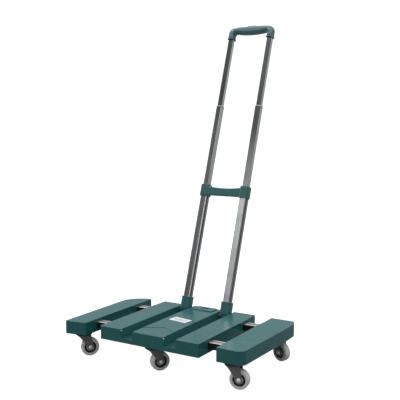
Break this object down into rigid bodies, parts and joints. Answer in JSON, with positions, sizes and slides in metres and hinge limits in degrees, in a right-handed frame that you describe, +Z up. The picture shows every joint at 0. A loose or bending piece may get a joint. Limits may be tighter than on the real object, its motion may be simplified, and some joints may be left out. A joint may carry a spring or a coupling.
{
  "type": "folding platform cart",
  "caption": "Platform cart on swivel casters with pull-out side wings and a tilting telescopic handle that folds flat into the grooves of its ribbed plastic deck.",
  "frame": {"origin": "centre of the deck's flat top surface", "axes": "+X towards the right wing, +Y towards the handle side, +Z up"},
  "size_m": [0.571, 0.623, 0.9806],
  "materials": {
    "deck_plastic": "fine-grained satin moulded plastic",
    "button_plastic": "satin moulded plastic",
    "black_plastic": "matt moulded plastic",
    "tube_steel": "dark drawn steel with a satin sheen",
    "rail_steel": "bright drawn steel",
    "fork_steel": "dark painted pressed steel",
    "zinc_steel": "bright zinc",
    "tyre": "grey thermoplastic rubber",
    "hub_plastic": "black and grey moulded plastic"
  },
  "bodies": {
    "deck": {"deck_body": "deck_plastic", "deck_bottom_cover": "deck_plastic", "left_front_rail_guide": "black_plastic", "left_rear_rail_guide": "black_plastic", "right_front_rail_guide": "black_plastic", "right_rear_rail_guide": "black_plastic", "centre_front_caster_mount": "black_plastic", "centre_rear_caster_mount": "black_plastic", "fold_button_spring": "zinc_steel"},
    "left_wing": {"left_wing": "deck_plastic", "left_front_rail": "rail_steel", "left_rear_rail": "rail_steel", "left_front_caster_mount": "black_plastic", "left_rear_caster_mount": "black_plastic"},
    "right_wing": {"right_wing": "deck_plastic", "right_front_rail": "rail_steel", "right_rear_rail": "rail_steel", "right_front_caster_mount": "black_plastic", "right_rear_caster_mount": "black_plastic"},
    "handle": {"pivot_shaft": "zinc_steel", "left_socket": "deck_plastic", "right_socket": "deck_plastic", "left_lower_tube": "tube_steel", "right_lower_tube": "tube_steel", "yoke": "deck_plastic"},
    "middle_stage": {"left_middle_tube": "tube_steel", "right_middle_tube": "tube_steel", "left_tube_collar": "rail_steel", "right_tube_collar": "rail_steel"},
    "inner_stage": {"left_inner_tube": "tube_steel", "right_inner_tube": "tube_steel", "grip": "deck_plastic"},
    "grip_release": {"grip_button": "button_plastic", "release_rods": "zinc_steel"},
    "fold_button": {"fold_button": "button_plastic"},
    "lock_pawl": {"lock_pawl": "fork_steel"},
    "left_front_fork": {"left_front_caster_fork": "fork_steel", "left_front_caster_bolt": "zinc_steel"},
    "left_front_wheel": {"left_front_caster_tyre": "tyre", "left_front_caster_hub": "hub_plastic"},
    "left_rear_fork": {"left_rear_caster_fork": "fork_steel", "left_rear_caster_bolt": "zinc_steel"},
    "left_rear_wheel": {"left_rear_caster_tyre": "tyre", "left_rear_caster_hub": "hub_plastic"},
    "centre_front_fork": {"centre_front_caster_fork": "fork_steel", "centre_front_caster_bolt": "zinc_steel"},
    "centre_front_wheel": {"centre_front_caster_tyre": "tyre", "centre_front_caster_hub": "hub_plastic"},
    "centre_rear_fork": {"centre_rear_caster_fork": "fork_steel", "centre_rear_caster_bolt": "zinc_steel"},
    "centre_rear_wheel": {"centre_rear_caster_tyre": "tyre", "centre_rear_caster_hub": "hub_plastic"},
    "right_front_fork": {"right_front_caster_fork": "fork_steel", "right_front_caster_bolt": "zinc_steel"},
    "right_front_wheel": {"right_front_caster_tyre": "tyre", "right_front_caster_hub": "hub_plastic"},
    "right_rear_fork": {"right_rear_caster_fork": "fork_steel", "right_rear_caster_bolt": "zinc_steel"},
    "right_rear_wheel": {"right_rear_caster_tyre": "tyre", "right_rear_caster_hub": "hub_plastic"}
  },
  "joints": [
    {"name": "left_wing_slide", "type": "slide", "parent": "deck", "child": "left_wing", "axis": [1, 0, 0], "range_m": [0, 0.05]},
    {"name": "right_wing_slide", "type": "slide", "parent": "deck", "child": "right_wing", "axis": [-1, 0, 0], "range_m": [0, 0.05]},
    {"name": "handle_tilt", "type": "hinge", "parent": "deck", "child": "handle", "pos_m": [0, 0.141, -0.011], "axis": [1, 0, 0], "range_deg": [-26.25, 108.75]},
    {"name": "middle_slide", "type": "slide", "parent": "handle", "child": "middle_stage", "axis": [0, -0.3214, -0.9469], "range_m": [0, 0.25]},
    {"name": "inner_slide", "type": "slide", "parent": "middle_stage", "child": "inner_stage", "axis": [0, -0.3214, -0.9469], "range_m": [0, 0.22]},
    {"name": "grip_button_press", "type": "slide", "parent": "inner_stage", "child": "grip_release", "axis": [0, -0.3214, -0.9469], "range_m": [0, 0.003], "stiffness_N_per_m": 900, "springref_m": -0.003},
    {"name": "fold_button_press", "type": "slide", "parent": "deck", "child": "fold_button", "axis": [0, 0, -1], "range_m": [0, 0.003], "stiffness_N_per_m": 800, "springref_m": -0.002, "deforming": ["fold_button_spring"]},
    {"name": "lock_pawl_slide", "type": "slide", "parent": "deck", "child": "lock_pawl", "axis": [0, -1, 0], "range_m": [0, 0.004]},
    {"name": "left_front_swivel", "type": "hinge", "parent": "left_wing", "child": "left_front_fork", "pos_m": [-0.245, -0.13, -0.038], "axis": [0, 0, 1], "continuous": true},
    {"name": "left_front_wheel_spin", "type": "hinge", "parent": "left_front_fork", "child": "left_front_wheel", "pos_m": [-0.23362, -0.11737, -0.082], "axis": [-0.7431, 0.6691, 0], "continuous": true},
    {"name": "left_rear_swivel", "type": "hinge", "parent": "left_wing", "child": "left_rear_fork", "pos_m": [-0.245, 0.13, -0.038], "axis": [0, 0, 1], "continuous": true},
    {"name": "left_rear_wheel_spin", "type": "hinge", "parent": "left_rear_fork", "child": "left_rear_wheel", "pos_m": [-0.22903, 0.12419, -0.082], "axis": [0.342, 0.9397, 0], "continuous": true},
    {"name": "centre_front_swivel", "type": "hinge", "parent": "deck", "child": "centre_front_fork", "pos_m": [0, -0.13, -0.038], "axis": [0, 0, 1], "continuous": true},
    {"name": "centre_front_wheel_spin", "type": "hinge", "parent": "centre_front_fork", "child": "centre_front_wheel", "pos_m": [0.01047, -0.1166, -0.082], "axis": [-0.788, 0.6157, 0], "continuous": true},
    {"name": "centre_rear_swivel", "type": "hinge", "parent": "deck", "child": "centre_rear_fork", "pos_m": [0, 0.13, -0.038], "axis": [0, 0, 1], "continuous": true},
    {"name": "centre_rear_wheel_spin", "type": "hinge", "parent": "centre_rear_fork", "child": "centre_rear_wheel", "pos_m": [0.01393, 0.12025, -0.082], "axis": [0.5736, 0.8192, 0], "continuous": true},
    {"name": "right_front_swivel", "type": "hinge", "parent": "right_wing", "child": "right_front_fork", "pos_m": [0.245, -0.13, -0.038], "axis": [0, 0, 1], "continuous": true},
    {"name": "right_front_wheel_spin", "type": "hinge", "parent": "right_front_fork", "child": "right_front_wheel", "pos_m": [0.26156, -0.12618, -0.082], "axis": [-0.225, 0.9744, 0], "continuous": true},
    {"name": "right_rear_swivel", "type": "hinge", "parent": "right_wing", "child": "right_rear_fork", "pos_m": [0.245, 0.13, -0.038], "axis": [0, 0, 1], "continuous": true},
    {"name": "right_rear_wheel_spin", "type": "hinge", "parent": "right_rear_fork", "child": "right_rear_wheel", "pos_m": [0.26107, 0.12447, -0.082], "axis": [0.3256, 0.9455, 0], "continuous": true}
  ],
  "couplings": [
    {"joint": "lock_pawl_slide", "follows": "fold_button_press", "ratio": 1.3}
  ]
}
